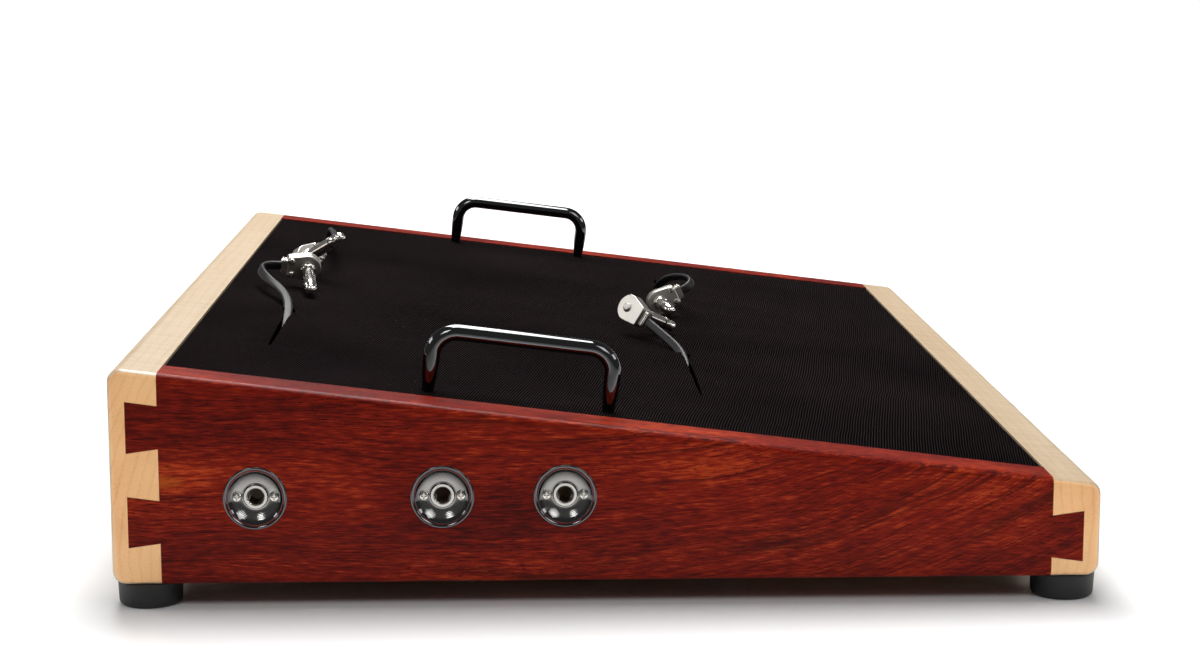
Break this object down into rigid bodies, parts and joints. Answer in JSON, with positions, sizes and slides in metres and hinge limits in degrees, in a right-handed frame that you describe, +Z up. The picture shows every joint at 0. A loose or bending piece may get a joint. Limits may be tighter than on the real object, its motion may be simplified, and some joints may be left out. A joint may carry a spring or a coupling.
{
  "type": "guitar pedalboard",
  "caption": "Sloping hardwood pedalboard with dovetailed maple rails, cloth-covered deck, recessed jacks, wire handles, rubber feet and flat patch cables.",
  "frame": {"origin": "on the floor under the middle of the board", "axes": "+X to the player's right along the board, +Y to the high rear edge, +Z up"},
  "size_m": [0.5593, 0.4072, 0.1187],
  "materials": {
    "red_hardwood": "oiled satin",
    "maple": "oiled satin",
    "plywood": "bare",
    "pine": "bare",
    "loop_cloth": "ribbed loop cloth",
    "rubber": "moulded",
    "zinc_steel": "zinc plated",
    "chrome": "polished",
    "nickel": "plated",
    "insulation": "fibre and nylon",
    "spring_metal": "plated spring",
    "cable_jacket": "flat jacket",
    "nylon": "natural",
    "cast_nickel": "cast and plated"
  },
  "bodies": {
    "board": {"cable_clips": "nylon", "cable_front_left": "cable_jacket", "cable_front_right": "cable_jacket", "cable_rear_left": "cable_jacket", "cable_rear_right": "cable_jacket", "cable_tie": "nylon", "deck_board": "plywood", "deck_fabric": "loop_cloth", "deck_screws": "zinc_steel", "foot_front_left": "rubber", "foot_front_right": "rubber", "foot_rear_left": "rubber", "foot_rear_right": "rubber", "foot_screws": "zinc_steel", "foot_washers": "zinc_steel", "front_cleat": "pine", "front_rail": "maple", "handle_screws": "zinc_steel", "handle_washers": "zinc_steel", "jack_cup_front": "chrome", "jack_cup_middle": "chrome", "jack_cup_rear": "chrome", "jack_cup_screws": "chrome", "jack_frame_front": "nickel", "jack_frame_middle": "nickel", "jack_frame_rear": "nickel", "jack_insulator_front": "insulation", "jack_insulator_middle": "insulation", "jack_insulator_rear": "insulation", "jack_tip_lugs": "spring_metal", "left_cleats": "pine", "left_handle": "chrome", "left_side_panel": "red_hardwood", "plug_contacts_front_left": "nickel", "plug_contacts_front_right": "nickel", "plug_contacts_rear_left": "nickel", "plug_contacts_rear_right": "nickel", "plug_cover_front_left": "cast_nickel", "plug_cover_front_right": "cast_nickel", "plug_cover_rear_left": "cast_nickel", "plug_cover_rear_right": "cast_nickel", "plug_housing_front_left": "cast_nickel", "plug_housing_front_right": "cast_nickel", "plug_housing_rear_left": "cast_nickel", "plug_housing_rear_right": "cast_nickel", "plug_insulators": "insulation", "plug_screws": "nickel", "rear_cleat": "pine", "rear_rail": "maple", "right_cleats": "pine", "right_handle": "chrome", "right_side_panel": "red_hardwood"},
    "rear_tip_spring": {"jack_tip_spring_rear": "spring_metal"},
    "middle_tip_spring": {"jack_tip_spring_middle": "spring_metal"},
    "front_tip_spring": {"jack_tip_spring_front": "spring_metal"}
  },
  "joints": [
    {"name": "rear_tip_flex", "type": "hinge", "parent": "board", "child": "rear_tip_spring", "pos_m": [-0.2409, 0.1443, 0.05395], "axis": [0, 1, 0], "range_deg": [0, 5.5], "stiffness_Nm_per_rad": 0.02},
    {"name": "middle_tip_flex", "type": "hinge", "parent": "board", "child": "middle_tip_spring", "pos_m": [-0.2409, 0.0682, 0.05395], "axis": [0, 1, 0], "range_deg": [0, 5.5], "stiffness_Nm_per_rad": 0.02},
    {"name": "front_tip_flex", "type": "hinge", "parent": "board", "child": "front_tip_spring", "pos_m": [-0.2409, 0.018, 0.05395], "axis": [0, 1, 0], "range_deg": [0, 5.5], "stiffness_Nm_per_rad": 0.02}
  ]
}
